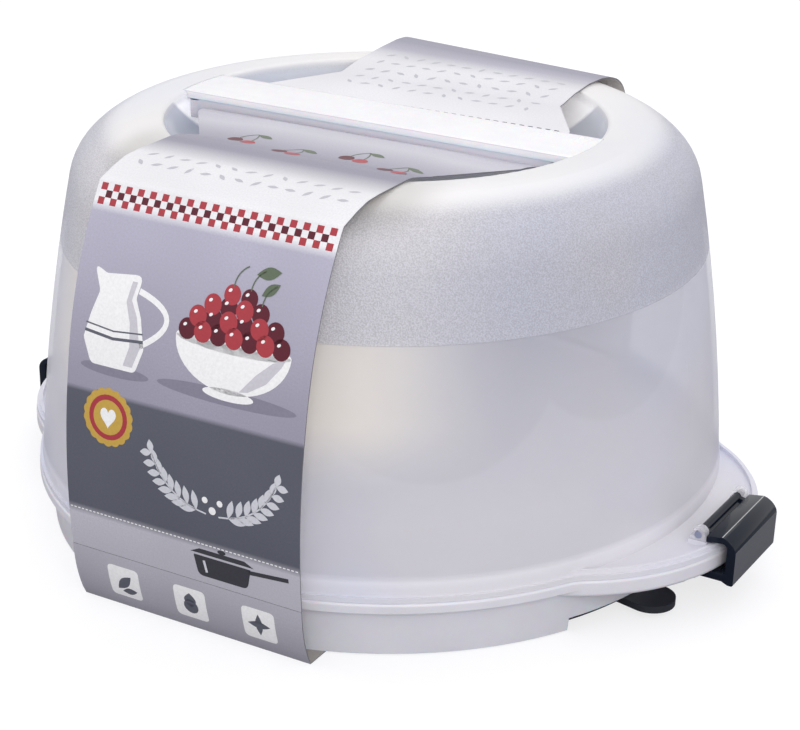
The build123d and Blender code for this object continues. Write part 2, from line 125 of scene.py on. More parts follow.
# ---------------------------------------------------------------- materials
def hood_zones(tree, place):
    """Where each finish of the hood lies and how strong it is, as sockets by name. Each row
    below is a name, an operation and its terms, which are numbers or earlier names. FADE and
    EASE follow their first term from the second to the third, and give the fourth to the fifth,
    or 0 to 1. BLEND goes from its second term to its third by the first. Places are in metres."""
    xyz = add_node(tree, "ShaderNodeSeparateXYZ", {0: place})
    x, y, z = xyz.outputs
    flat = add_node(tree, "ShaderNodeCombineXYZ", {"X": x, "Y": y})
    at = {
        "y": y, "z": z, "side": add_node(tree, "ShaderNodeMath", {0: x}, operation="ABSOLUTE"),
        "radius": add_node(tree, "ShaderNodeVectorMath", {0: flat}, operation="LENGTH"),
        "facing": add_node(tree, "ShaderNodeLayerWeight", {"Blend": 0.5}).outputs["Facing"],
        # grain of 0.3 mm or so, drawn 0.6 mm coarse so that it shows
        "grain": add_node(tree, "ShaderNodeTexNoise", {
            "Vector": place, "Scale": 1 / 0.0006, "Detail": 1.0, "Roughness": 0.7}),
        # flow marks of the melt, hand sized
        "cloud": add_node(tree, "ShaderNodeTexNoise", {
            "Vector": place, "Scale": 1 / 0.09, "Detail": 2.0})}
    # how far towards the slanting edge of the painted shade in the recess, and from the middles
    # of two rounds of painted shadow
    for name, operation, vector in (
            ("across", "DOT_PRODUCT", (-0.604, 1.0, 1.5)),
            ("behind", "DOT_PRODUCT", (-1.0, 1.0, 0.0)),
            ("from_right_shadow", "DISTANCE", (0.1418, -0.0489, 0.143)),
            ("from_front_shadow", "DISTANCE", (0.0934, -0.1174, 0.133))):
        at[name] = add_node(tree, "ShaderNodeVectorMath", {0: place, 1: vector},
                            operation=operation)
    line, film = sizes().texture_line + CARD * MM, sizes().film_smooth
    rows = (
        # grained above the texture line, but not on the crown or in the polished recess
        ("above", "FADE", "z", line - 0.0002, line + 0.0002),
        ("crown", "EASE", "z", 0.1775, 0.1838),
        ("recess", "FADE", "radius", 0.0974, 0.0966),
        ("clean", "MAXIMUM", "crown", "recess"),
        ("rough", "SUBTRACT", 1.0, "clean"),
        ("grained", "MULTIPLY", "above", "rough"),
        # the relief: flow marks everywhere, and the grain
        ("flow", "MULTIPLY", "cloud", 0.06),
        ("grit", "MULTIPLY", "grained", "grain"),
        ("relief", "ADD", "grit", "flow"),
        # painted shade: the half of the recess that the bar and the card shade takes a darker
        # tone, along a slanting edge
        ("out_of_painted_shade", "FADE", "across", 0.2965, 0.2995),
        ("before", "LESS_THAN", "behind", 0.11),
        ("bright", "MULTIPLY", "out_of_painted_shade", "before"),
        # painted glow: the recess emits light in its own tone, most at its ends under the bar and
        # on the half out of the painted shade
        ("ends", "EASE", "side", 0.045, 0.062, 0.45, 1.0),
        ("lift", "FADE", "bright", 0.0, 1.0, 0.19, 0.44),
        ("at_ends", "MULTIPLY", "ends", "lift"),
        ("painted_glow", "MULTIPLY", "at_ends", "recess"),
        # painted warm light on the wall beside the card, less where grained
        ("beside", "EASE", "side", 0.118, 0.064),
        ("warm", "EASE", "z", 0.072, 0.104),
        ("painted_warm_glow", "MULTIPLY", "beside", "warm"),
        ("let_through", "MULTIPLY_ADD", "above", -0.7, 1.0),
        ("painted_warm_light", "MULTIPLY", "painted_warm_glow", "let_through"),
        # two rounds of painted shadow, a shade darker, whose soft edges show in the smooth wall
        ("right_shadow_round", "FADE", "from_right_shadow", 0.0522, 0.0498, 1.0, 0.95),
        ("front_shadow_round", "FADE", "from_front_shadow", 0.0567, 0.0543, 1.0, 0.95),
        ("painted_shadow_rounds", "MINIMUM", "right_shadow_round", "front_shadow_round"),
        ("shaded", "BLEND", "above", "painted_shadow_rounds", 1.0),
        # painted shade of the card on the crown beside it, at the front
        ("near_card", "EASE", "side", 0.082, 0.064),
        ("front", "FADE", "y", -0.06, -0.09),
        ("high", "FADE", "z", 0.172, 0.18, 0.0, 0.36),
        ("corner", "MULTIPLY", "near_card", "front"),
        ("card_painted_shade", "MULTIPLY", "corner", "high"),
        ("free_of_card_painted_shade", "SUBTRACT", 1.0, "card_painted_shade"),
        ("shade", "MULTIPLY", "shaded", "free_of_card_painted_shade"),
        # the grain sparkles
        ("speck", "FADE", "grain", 0.36, 0.64, 0.82, 1.1),
        ("sparkle", "BLEND", "grained", 1.0, "speck"),
        # the film is clearest where the wall is smooth and high, milkier towards the foot, where
        # it is grained, where the look slants through it and under the painted warm light
        ("low", "FADE", "z", 0.13, 0.06, film, film + 0.2),
        ("side_film", "BLEND", "above", "low", sizes().film_grained),
        ("slanted", "MULTIPLY_ADD", "facing", 0.16, "side_film"),
        ("thick", "MULTIPLY_ADD", "painted_warm_light", 0.3, "slanted"),
        # the flange is thick; the hinge lugs on it are thin enough to show the pins; the crown,
        # where the melt arrived first, and the recess are milkiest
        ("flange", "FADE", "z", 0.0385, 0.0355),
        ("low_film", "BLEND", "flange", "thick", 0.86),
        ("beyond", "GREATER_THAN", "side", 0.1655),
        ("over", "GREATER_THAN", "z", 0.0318),
        ("lug", "MULTIPLY", "beyond", "over"),
        ("lug_film", "BLEND", "lug", "low_film", 0.42),
        ("film", "BLEND", "clean", "lug_film", 0.97),
        # roughness, and how much light the wall spreads inside itself
        ("worn", "FADE", "grained", 0.0, 1.0, 0.3, 0.42),
        ("dull", "BLEND", "recess", "worn", 0.12),
        ("spread", "FADE", "clean", 0.0, 1.0, 0.17, 0.1))
    for name, what, *terms in rows:
        terms = [at.get(term, term) for term in terms]
        if what in ("FADE", "EASE"):
            ends = ("Value", "From Min", "From Max", "To Min", "To Max")
            at[name] = add_node(tree, "ShaderNodeMapRange", dict(zip(ends, terms)),
                                interpolation_type="LINEAR" if what == "FADE" else "SMOOTHSTEP")
        elif what == "BLEND":
            at[name] = add_node(tree, "ShaderNodeMix", dict(zip((0, 2, 3), terms)))
        else:
            at[name] = add_node(tree, "ShaderNodeMath", dict(enumerate(terms)), operation=what,
                                use_clamp=what in ("SUBTRACT", "MULTIPLY_ADD"))
    return at


def frosted_polypropylene():
    """Natural polypropylene, injection moulded: a milky film that the inside shows through.
    Above the texture line the mould was spark-eroded, which gives a sparkling grain."""
    material, tree = new_material("polypropylene_natural_moulded")
    place = add_node(tree, "ShaderNodeTexCoord").outputs["Object"]
    look, at = colours(), hood_zones(tree, place)
    bump = add_node(tree, "ShaderNodeBump", {
        "Strength": 0.9, "Distance": 0.00035, "Height": at["relief"]})
    # the melt's drift makes the tone wander between a cold and a warm white
    drift = add_node(tree, "ShaderNodeValToRGB", {"Fac": at["cloud"]})
    set_ramp(drift, [(0.38, linear("#f8f9fd")), (0.62, linear("#fdfbf8"))])
    wall = add_node(tree, "ShaderNodeMix", {
        0: at["above"], 6: look.hood_milky, 7: look.hood_frosted}, data_type="RGBA")
    # the crown is whiter than the grained wall: partly its smooth milky finish, partly painted
    # light from above
    top = add_node(tree, "ShaderNodeMix", {0: at["crown"], 6: wall, 7: look.hood_crown_milk_and_painted_light},
                   data_type="RGBA")
    # the recess: a white tone, with painted shade on the half that the bar and the card shade
    inside = add_node(tree, "ShaderNodeMix", {
        0: at["bright"], 6: look.hood_recess_painted_shade, 7: look.hood_recess}, data_type="RGBA")
    body = add_node(tree, "ShaderNodeMix", {0: at["recess"], 6: top, 7: inside},
                    data_type="RGBA")
    drifted = add_node(tree, "ShaderNodeMix", {0: 1.0, 6: body, 7: drift}, data_type="RGBA",
                       blend_type="MULTIPLY")
    # the tone darkened by the painted shade: the two rounds of painted shadow and the card's
    # shade on the crown
    shaded = add_node(tree, "ShaderNodeVectorMath", {0: drifted, "Scale": at["shade"]},
                      operation="SCALE")
    # painted warm light: the tone turns to a warm white beside the card
    tone = add_node(tree, "ShaderNodeMix", {0: at["painted_warm_light"], 6: shaded, 7: linear("#fffaf5")},
                    data_type="RGBA")
    base = add_node(tree, "ShaderNodeVectorMath", {0: tone, "Scale": at["sparkle"]},
                    operation="SCALE")
    # the emission is the painted glow in the recess
    skin = add_node(tree, "ShaderNodeBsdfPrincipled", {
        "IOR": 1.49, "Base Color": base, "Roughness": at["dull"], "Normal": bump,
        "Emission Color": base, "Emission Strength": at["painted_glow"]})
    glow = add_node(tree, "ShaderNodeBsdfTranslucent", {"Color": base})
    milk = add_node(tree, "ShaderNodeMixShader", {0: at["spread"], 1: skin, 2: glow})
    clear = add_node(tree, "ShaderNodeBsdfTransparent", {"Color": (1, 1, 1, 1)})
    shader = add_node(tree, "ShaderNodeMixShader", {0: at["film"], 1: clear, 2: milk})
    add_node(tree, "ShaderNodeOutputMaterial", {"Surface": shader})
    return material


def moulded_plastic(name, colour, roughness, peel_mm, depth_mm, subsurface=0.0, specular=0.5):
    """Solid coloured plastic, injection moulded: an even satin skin with a faint orange peel,
    whose dimples are peel_mm apart and depth_mm deep."""
    material, tree = new_material(name)
    place = add_node(tree, "ShaderNodeTexCoord").outputs["Object"]
    peel = add_node(tree, "ShaderNodeTexNoise", {
        "Vector": place, "Scale": 1000 / peel_mm, "Detail": 3.0})
    # handling leaves the skin a little duller or shinier, in patches of 35 mm
    handled = add_node(tree, "ShaderNodeTexNoise", {
        "Vector": place, "Scale": 1 / 0.035, "Detail": 4.0, "Roughness": 0.6})
    dull = add_node(tree, "ShaderNodeMapRange", {
        "Value": handled, "From Min": 0.3, "From Max": 0.7,
        "To Min": roughness - 0.05, "To Max": roughness + 0.07})
    bump = add_node(tree, "ShaderNodeBump", {
        "Strength": 0.5, "Distance": depth_mm * MM, "Height": peel})
    shader = add_node(tree, "ShaderNodeBsdfPrincipled", {
        "IOR": 1.5, "Specular IOR Level": specular, "Subsurface Weight": subsurface,
        "Subsurface Scale": 0.002, "Roughness": dull, "Normal": bump,
        "Base Color": mottled(tree, tuple(colour)[:3], handled, 0.96, 1.03)})
    add_node(tree, "ShaderNodeOutputMaterial", {"Surface": shader})
    return material


def printed_card(name, bands, total):
    """Coated carton board, offset printed and varnished: flat fields of ink with a fine
    halftone, under a thin gloss. bands are (start in mm along the card, colour)."""
    material, tree = new_material(name)
    uv = add_node(tree, "ShaderNodeUVMap", uv_map="card")
    along = add_node(tree, "ShaderNodeSeparateXYZ", {0: uv})
    step = add_node(tree, "ShaderNodeMath", {0: along.outputs["Y"], 1: total * MM},
                    operation="DIVIDE")
    field = add_node(tree, "ShaderNodeValToRGB", {"Fac": step})
    set_ramp(field, [(start / total, linear(code)) for start, code in bands])
    # halftone dots of 0.2 mm, drawn 0.8 mm coarse so that they show as a light mottle
    dots = add_node(tree, "ShaderNodeTexNoise", {
        "Vector": uv, "Scale": 1 / 0.0008, "Detail": 1.0})
    cloud = add_node(tree, "ShaderNodeTexNoise", {
        "Vector": uv, "Scale": 1 / 0.05, "Detail": 1.0})
    mottle = add_node(tree, "ShaderNodeMath", {0: dots, 1: cloud, 2: 0.5},
                      operation="MULTIPLY_ADD")
    ink = mottled(tree, field, mottle, 0.92, 1.06, 0.6, 0.95)
    fibre = add_node(tree, "ShaderNodeBump", {
        "Strength": 0.25, "Distance": 0.00005, "Height": dots})
    gloss = add_node(tree, "ShaderNodeMapRange", {
        "Value": cloud, "From Min": 0.3, "From Max": 0.7, "To Min": 0.42, "To Max": 0.52})
    shader = add_node(tree, "ShaderNodeBsdfPrincipled", {
        "IOR": 1.5, "Specular IOR Level": 0.3, "Coat Weight": 0.06, "Coat Roughness": 0.2,
        "Base Color": ink, "Roughness": gloss, "Normal": fibre})
    add_node(tree, "ShaderNodeOutputMaterial", {"Surface": shader})
    return material


def bare_card(name, code, fibre_mm):
    """Uncoated grey-beige board: short fibres, dull, with darker and paler flecks."""
    material, tree = new_material(name)
    place = add_node(tree, "ShaderNodeTexCoord").outputs["Object"]
    fibres = add_node(tree, "ShaderNodeTexNoise", {
        "Vector": place, "Scale": 1000 / fibre_mm, "Detail": 3.0, "Distortion": 1.2})
    base = mottled(tree, linear(code)[:3], fibres, 0.88, 1.06)
    bump = add_node(tree, "ShaderNodeBump", {
        "Strength": 0.4, "Distance": 0.0001, "Height": fibres})
    shader = add_node(tree, "ShaderNodeBsdfPrincipled", {
        "Roughness": 0.85, "Base Color": base, "Normal": bump})
    add_node(tree, "ShaderNodeOutputMaterial", {"Surface": shader})
    return material


def offset_ink(name, code):
    """Offset ink on coated board: the tone breaks up a little in the halftone."""
    material, tree = new_material(name)
    place = add_node(tree, "ShaderNodeTexCoord").outputs["Object"]
    # dots of 0.2 mm, drawn 1.1 mm coarse so that they show
    dots = add_node(tree, "ShaderNodeTexNoise", {
        "Vector": place, "Scale": 1 / 0.0011, "Detail": 2.0})
    shader = add_node(tree, "ShaderNodeBsdfPrincipled", {
        "IOR": 1.5, "Roughness": 0.45, "Specular IOR Level": 0.3,
        "Base Color": mottled(tree, linear(code)[:3], dots, 0.95, 1.04)})
    add_node(tree, "ShaderNodeOutputMaterial", {"Surface": shader})
    return material


# ---------------------------------------------------------------- meshes
def placed(mesh, name, materials, body, smooth):
    """Puts a mesh in metres into the scene as a piece that rides on a body. Its edges are
    sharp where they bend by more than smooth degrees."""
    for material in materials:
        mesh.materials.append(material)
    piece = bpy.data.objects.new(name, mesh)
    bpy.context.scene.collection.objects.link(piece)
    mesh.shade_smooth()
    mesh.set_sharp_from_angle(angle=radians(smooth))
    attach(piece, body)
    return piece


def finished(build, name, materials, body, smooth=35.0):
    """Turns a bmesh drawn in millimetres into a piece riding on a body."""
    mesh = bpy.data.meshes.new(name)
    build.to_mesh(mesh)
    build.free()
    mesh.transform(Matrix.Scale(MM, 4))
    return placed(mesh, name, materials, body, smooth)


def prism(build, low, high, bevel=0.0):
    """Closed block between two like rings of points; its edges are rounded by bevel."""
    a, b = [build.verts.new(p) for p in low], [build.verts.new(p) for p in high]
    made = [build.faces.new(a), build.faces.new(b[::-1])]
    count = len(a)
    made += [build.faces.new((a[k], b[k], b[(k + 1) % count], a[(k + 1) % count]))
             for k in range(count)]
    bmesh.ops.recalc_face_normals(build, faces=made)
    if bevel:
        edges = {e for f in made for e in f.edges if e.calc_face_angle(0) > SHARP}
        bmesh.ops.bevel(build, geom=list(edges), offset=bevel, segments=3, profile=0.5,
                        affect="EDGES", clamp_overlap=True)


def dress(node, material):
    """Gives a CAD node its material."""
    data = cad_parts[node].data
    data.materials.clear()
    data.materials.append(material)


def arc_points(a, b, c, step=4.0):
    """Points of the arc from a through b to c."""
    (ax, ay), (bx, by), (cx, cy) = a, b, c
    d = 2 * (ax * (by - cy) + bx * (cy - ay) + cx * (ay - by))
    aa, bb, cc = ax**2 + ay**2, bx**2 + by**2, cx**2 + cy**2
    ux = (aa * (by - cy) + bb * (cy - ay) + cc * (ay - by)) / d
    uy = (aa * (cx - bx) + bb * (ax - cx) + cc * (bx - ax)) / d
    radius = hypot(ax - ux, ay - uy)
    start, middle, end = (atan2(y - uy, x - ux) for x, y in (a, b, c))
    turn = (end - start) % (2 * pi)
    if (middle - start) % (2 * pi) > turn:
        turn -= 2 * pi
    count = max(2, ceil(abs(turn) * radius / step))
    return [(ux + radius * cos(start + turn * i / count),
             uy + radius * sin(start + turn * i / count)) for i in range(count + 1)]


def soften(points, radii, count=5):
    """Rounds the corners of an open line. radii has one radius per inner point."""
    out = [points[0]]
    for before, corner, after, radius in zip(points, points[1:], points[2:], radii):
        p, q, r = Vector(before), Vector(corner), Vector(after)
        a, b = (p - q).normalized(), (r - q).normalized()
        half = a.angle(b) / 2
        reach = min(radius / tan(half), 0.48 * (p - q).length, 0.48 * (r - q).length)
        for i in range(count + 1):
            t = i / count
            out.append(tuple(q + a * reach * (1 - t) ** 2 + b * reach * t ** 2))
    return out + [points[-1]]


def offset_line(points, amount):
    """The line moved to its left by amount, corner by corner."""
    out = []
    for i, point in enumerate(points):
        before, after = points[max(i - 1, 0)], points[min(i + 1, len(points) - 1)]
        along = Vector(after) - Vector(before)
        normal = Vector((-along.y, along.x)).normalized()
        out.append((point[0] + normal.x * amount, point[1] + normal.y * amount))
    return out


# ---------------------------------------------------------------- the sleeve's line
# Points of its inner side as (depth, height above the foot). OVER is the part that lies over the
# recess, with the radius of each of its corners. BACK gives each point at the left edge and at
# the right one, because the sleeve is creased askew over the crest behind.
FRONT = arc_points((-160.6, CUT_H + 0.2), (-BULGE_Y, 54.0), (-157.5, 106.0)) + arc_points(
    (-157.5, 106.0), (-148.53, 142.31), (-130.3, 179.3))[1:]
OVER = [(-121.0, 182.4), (-113.0, 184.4), (-104.0, 184.8), (-79.5, 184.7), (-62.5, 181.4),
        (-26.0, 180.2), (-17.2, 177.6), (-17.0, 170.8), (18.4, 170.8), (24.0, 180.4),
        (60.0, 181.6)]
OVER_ROUND = [25.0, 20.0, 30.0, 30.0, 30.0, 12.0, 0.8, 1.5, 2.0, 5.0, 30.0]
BACK = [(75.0, 183.9, 73.0, 183.8), (95.0, 185.3, 89.0, 184.9), (112.0, 186.0, 103.0, 184.3),
        (122.0, 185.4, 113.0, 182.6), (130.0, 182.4, 121.0, 180.0), (137.0, 176.0, 127.5, 176.0),
        (142.5, 166.0, 134.0, 167.0), (148.5, 150.0, 143.5, 150.0), (153.0, 132.0, 151.0, 130.0)]
BACK_LOW = arc_points((157.5, 106.0), (BULGE_Y, 54.0), (160.6, CUT_H + 0.2))
LOW = (arc_points((-160.6, CUT_H), (-158.5, 12.0), (-154.1, 0.0))
       + arc_points((154.1, 0.0), (158.5, 12.0), (160.6, CUT_H)))


def upper_line(share):
    """Inner line of the upper card, from its front cut over the top to its back cut. share runs
    from 0 at the left edge to 1 at the right one."""
    back = [(a + (c - a) * share, b + (d - b) * share) for a, b, c, d in BACK]
    corners = [FRONT[-1]] + OVER + back + [BACK_LOW[0]]
    radii = [1.6] + OVER_ROUND + [25.0] * len(back) + [60.0]
    line = soften([FRONT[-2]] + corners + [BACK_LOW[1]], radii)
    return FRONT[:-2] + line + BACK_LOW[2:]


def along_lengths(line):
    """Length along a line up to each of its points."""
    out = [0.0]
    for a, b in zip(line, line[1:]):
        out.append(out[-1] + hypot(b[0] - a[0], b[1] - a[1]))
    return out


def smooth(value):
    """Eases from 0 to 1."""
    t = min(max(value, 0.0), 1.0)
    return t * t * (3 - 2 * t)


def droop(across, y):
    """How far the round part's front corners hang down into the recess: outside 44 mm from the
    middle, and between 74 and 17.5 mm in front of it."""
    hang = 2.6
    return (hang * smooth((abs(across) - 44.0) / 20.0) * smooth((y + 74.0) / 26.0)
            * smooth((-y - 17.5) / 16.0))


MEAN_LINE = upper_line(0.5)
MEAN_LENGTHS = along_lengths(MEAN_LINE)


@cache
def outer_line(share):
    """Outer line of the upper card, where upper_line is its inner one."""
    return offset_line(upper_line(share), CARD)


def on_upper(across, length, lift):
    """Point on the outside of the upper card, or lift above it: mm across it and mm along it
    from the front cut."""
    line = outer_line(round((across / SLEEVE_HALF + 1) / 2, 3))
    i = 0
    while i < len(MEAN_LENGTHS) - 2 and MEAN_LENGTHS[i + 1] < length:
        i += 1
    t = (length - MEAN_LENGTHS[i]) / (MEAN_LENGTHS[i + 1] - MEAN_LENGTHS[i])
    a, b = Vector(line[i]), Vector(line[i + 1])
    along = (b - a).normalized()
    y, h = a.lerp(b, t) + Vector((-along.y, along.x)) * lift
    return skewed(across, y, h - droop(across, y))


def skewed(across, along, height):
    """Place in the frame of a point given across and along the sleeve, in mm."""
    u = across + SHIFT
    return (u * cos(SKEW) - along * sin(SKEW), u * sin(SKEW) + along * cos(SKEW), height + CARD)


def length_where(axis, wanted, start):
    """mm along the upper card from the front cut at which it first reaches a depth (axis 0) or
    a height (axis 1), from its point number start on."""
    for i in range(start, len(MEAN_LINE) - 1):
        here, following = MEAN_LINE[i][axis], MEAN_LINE[i + 1][axis]
        if following >= wanted:
            t = (wanted - here) / (following - here)
            return MEAN_LENGTHS[i] + t * (MEAN_LENGTHS[i + 1] - MEAN_LENGTHS[i])
    raise ValueError(wanted)


def length_at_height(height):
    return length_where(1, height, 0)


def length_at_y(depth):
    return length_where(0, depth, len(FRONT))


def half_width(y):
    """Half width of the upper card at a depth: it widens to a disc inside the recess, and a
    little more in front of the handle bar."""
    round_part = sqrt(max(DISC_R**2 - y**2, 0.0))
    before_bar = 5.0 * smooth((y + 45.0) / 25.0) if y < -16.5 else 0.0
    return max(SLEEVE_HALF, round_part + before_bar)


def card_mesh(name, line_of, widths, columns, materials, body, lengths, sag=None):
    """A sheet of card ruled between the lines that line_of gives across it, CARD mm thick.
    Printed outside, bare inside, with its own colour on the cut edges."""
    verts, uvs = [], []
    shares = [2 * i / columns - 1 for i in range(columns + 1)]
    rows = len(widths)
    for lift in (0.0, CARD):
        for r in range(rows):
            half = widths[r]
            for s in shares:
                across = s * half
                line = line_of((across / SLEEVE_HALF + 1) / 2)
                y, h = offset_line(line[max(r - 1, 0):r + 2], lift)[min(r, 1)]
                verts.append(skewed(across, y, h - (sag(across, y) if sag else 0.0)))
                uvs.append((across, lengths[r]))
    wide, layer = columns + 1, rows * (columns + 1)
    faces, indices = [], []
    for r in range(rows - 1):
        for c in range(columns):
            a, b = r * wide + c, r * wide + c + 1
            d, e = a + wide, b + wide
            faces += [(a, d, e, b), (layer + a, layer + b, layer + e, layer + d)]
            indices += [1, 0]
    border = [(c, c + 1) for c in range(columns)]
    border += [(r * wide + columns, (r + 1) * wide + columns) for r in range(rows - 1)]
    last = (rows - 1) * wide
    border += [(last + c + 1, last + c) for c in reversed(range(columns))]
    border += [((r + 1) * wide, r * wide) for r in reversed(range(rows - 1))]
    for a, b in border:
        faces.append((a, b, layer + b, layer + a))
        indices.append(2)
    mesh = bpy.data.meshes.new(name)
    mesh.from_pydata([tuple(c * MM for c in v) for v in verts], [], faces)
    if mesh.validate():
        raise RuntimeError(f"{name} has bad faces")
    mesh.polygons.foreach_set("material_index", indices)
    flat = mesh.uv_layers.new(name="card")
    for loop in mesh.loops:
        flat.data[loop.index].uv = [value * MM for value in uvs[loop.vertex_index]]
    return placed(mesh, name, materials, body, 25.0)


# ---------------------------------------------------------------- settings
TONE = {"subtype": "COLOR", "size": 4, "min": 0, "max": 1}


class CarrierColours(PropertyGroup):
    """Colours of the carrier's plastics"""
    hood_milky: FloatVectorProperty(
        name="Hood, smooth part", description="Milky tone of the smooth lower wall",
        default=linear("#f6f6ff"), **TONE)
    hood_frosted: FloatVectorProperty(
        name="Hood, grained part", description="Tone of the grained wall of the hood",
        default=linear("#dddde7"), **TONE)
    hood_recess: FloatVectorProperty(
        name="Hood, recess", description="Tone of the polished recess",
        default=linear("#fbfcff"), **TONE)
    # painted shade: the darker tone of the half of the recess that the bar and the card shade
    hood_recess_painted_shade: FloatVectorProperty(
        name="Hood, shaded recess", description="Tone of the half of the recess in shade",
        default=linear("#c3cbdc"), **TONE)
    # the crown's tone: partly its smooth milky finish, partly painted light from above
    hood_crown_milk_and_painted_light: FloatVectorProperty(
        name="Hood, crown", description="Tone of the milkier crown round the recess",
        default=linear("#eeeef2"), **TONE)
    base_white: FloatVectorProperty(
        name="Base", description="Moulded white of the base",
        default=linear("#dfdee6"), **TONE)
    bar_white: FloatVectorProperty(
        name="Handle bar", description="Moulded white of the handle bar",
        default=linear("#ebeaee"), **TONE)
    # painted shade: the channel under the bar's plate is given a darker white
    bar_channel_painted_shade: FloatVectorProperty(
        name="Handle bar, channel", description="White of the channel under the bar's plate",
        default=linear("#cfccd5"), **TONE)
    clip_dark: FloatVectorProperty(
        name="Clips", description="Polished anthracite of the snap clips",
        default=linear("#111826"), **TONE)
    clip_face: FloatVectorProperty(
        name="Clips, outer face", description="Grained anthracite of their outer face",
        default=linear("#56575f"), **TONE)
    cover_dark: FloatVectorProperty(
        name="Compartment cover", description="Anthracite of the cover and its tabs",
        default=linear("#24262e"), **TONE)


class CarrierSizes(PropertyGroup):
    """Sizes of the carrier's finer details, in metres, and the clearness of its hood"""
    texture_line: FloatProperty(
        name="Texture line", description="Height above the foot where the hood's grain starts",
        subtype="DISTANCE", unit="LENGTH", default=0.1324)
    film_smooth: FloatProperty(
        name="Film, smooth", description="How milky one face of the smooth wall is",
        subtype="FACTOR", min=0, max=1, default=0.3)
    film_grained: FloatProperty(
        name="Film, grained", description="How milky one face of the grained wall is",
        subtype="FACTOR", min=0, max=1, default=0.74)
    clip_edge: FloatProperty(
        name="Clip edges", description="Radius of the clips' small edges",
        subtype="DISTANCE", unit="LENGTH", default=0.0006)
    slit_pitch: FloatProperty(
        name="Slit pitch", description="Distance between the perforations beside the handle bar",
        subtype="DISTANCE", unit="LENGTH", default=0.0042)


# ---------------------------------------------------------------- operators
class CARRIER_OT_stage(Operator):
    """Camera, floor, studio lamps and white background"""
    bl_idname = "carrier.stage"
    bl_label = "Stage"

    def execute(self, context):
        scene = context.scene
        scene.view_settings.view_transform = "Standard"
        # a picture of 800 by 730 points, with the focal length and the point straight ahead of
        # the camera in those points
        across, down, focal, ahead_x, ahead_y = 800, 730, 2011.427, 307.675, 491.523
        data = bpy.data.cameras.new("camera")
        data.sensor_width, data.sensor_fit = 36.0, "HORIZONTAL"
        data.lens = focal * data.sensor_width / across
        data.shift_x = (across / 2 - ahead_x) / across
        data.shift_y = (ahead_y - down / 2) / across
        data.clip_start = 0.05
        view = bpy.data.objects.new("camera", data)
        scene.collection.objects.link(view)
        ahead = Vector((-0.48556571, 0.75408762, -0.4422418))
        right = Vector((0.840775, 0.54138471, 0.0))
        turned = Matrix((right, right.cross(ahead), -ahead)).transposed().to_4x4()
        turned.translation = Vector((0.44042544, -0.74684183, 0.42641451))
        view.matrix_world = turned
        scene.camera = view

        # the background is white to the eye, in the plastics' gloss and through the hood, and a
        # little dimmer as light on the object
        world = bpy.data.worlds.new("studio")
        scene.world = world
        world.use_nodes = True
        tree = world.node_tree
        tree.nodes.clear()
        rays = add_node(tree, "ShaderNodeLightPath").outputs
        direct = add_node(tree, "ShaderNodeMath", {
            0: rays["Is Camera Ray"], 1: rays["Is Transmission Ray"]}, operation="MAXIMUM")
        seen = add_node(tree, "ShaderNodeMath", {0: direct, 1: rays["Is Glossy Ray"]},
                        operation="MAXIMUM")
        bright = add_node(tree, "ShaderNodeMapRange", {
            "Value": seen, "To Min": 0.86, "To Max": 1.0})
        back = add_node(tree, "ShaderNodeBackground", {
            "Color": (1, 1, 1, 1), "Strength": bright})
        add_node(tree, "ShaderNodeOutputWorld", {"Surface": back})

        # the floor is grey to the object, keeps its shadow and looks white
        paint, tree = new_material("studio_floor_matt_paint")
        rays = add_node(tree, "ShaderNodeLightPath").outputs
        lift = add_node(tree, "ShaderNodeMath", {0: rays["Is Camera Ray"], 1: 0.72},
                        operation="MULTIPLY")
        matt = add_node(tree, "ShaderNodeBsdfPrincipled", {
            "Base Color": linear("#939398"), "Roughness": 0.9, "Emission Color": (1, 1, 1, 1),
            "Emission Strength": lift})
        add_node(tree, "ShaderNodeOutputMaterial", {"Surface": matt})
        reach = 3.0
        mesh = bpy.data.meshes.new("floor")
        mesh.from_pydata([(-reach, -reach, 0), (reach, -reach, 0), (reach, reach, 0),
                          (-reach, reach, 0)], [], [(0, 1, 2, 3)])
        mesh.materials.append(paint)
        floor = bpy.data.objects.new("floor", mesh)
        scene.collection.objects.link(floor)

        for name, size, watts, place in (
                ("overhead_softbox", 1.1, 3.6, (-0.2, 0.85, 1.35)),
                ("front_softbox", 0.8, 7.2, (0.85, -1.1, 0.75)),
                ("side_softbox", 0.7, 2.6, (-1.3, -0.55, 0.6))):
            lamp = bpy.data.lights.new(name, "AREA")
            lamp.size, lamp.energy = size, watts
            holder = bpy.data.objects.new(name, lamp)
            scene.collection.objects.link(holder)
            holder.location = place
            aim = Vector((0, 0, 0.08)) - Vector(place)
            holder.rotation_euler = aim.to_track_quat("-Z", "Y").to_euler()
        return {"FINISHED"}


class CARRIER_OT_hood(Operator):
    """Translucent hood, grained above its texture line"""
    bl_idname = "carrier.hood"
    bl_label = "Hood"

    def execute(self, context):
        dress("hood", frosted_polypropylene())
        return {"FINISHED"}


def bar_outline(half, radius, count=14):
    """Plan of the handle bar: long sides at half, ends on a circle about the axis. The first
    half of its points is its right end."""
    reach = atan2(half, sqrt(radius**2 - half**2))
    ends = [reach * (2 * i / count - 1) for i in range(count + 1)]
    right = [(radius * cos(t), radius * sin(t)) for t in ends]
    return right + [(-x, -y) for x, y in right]


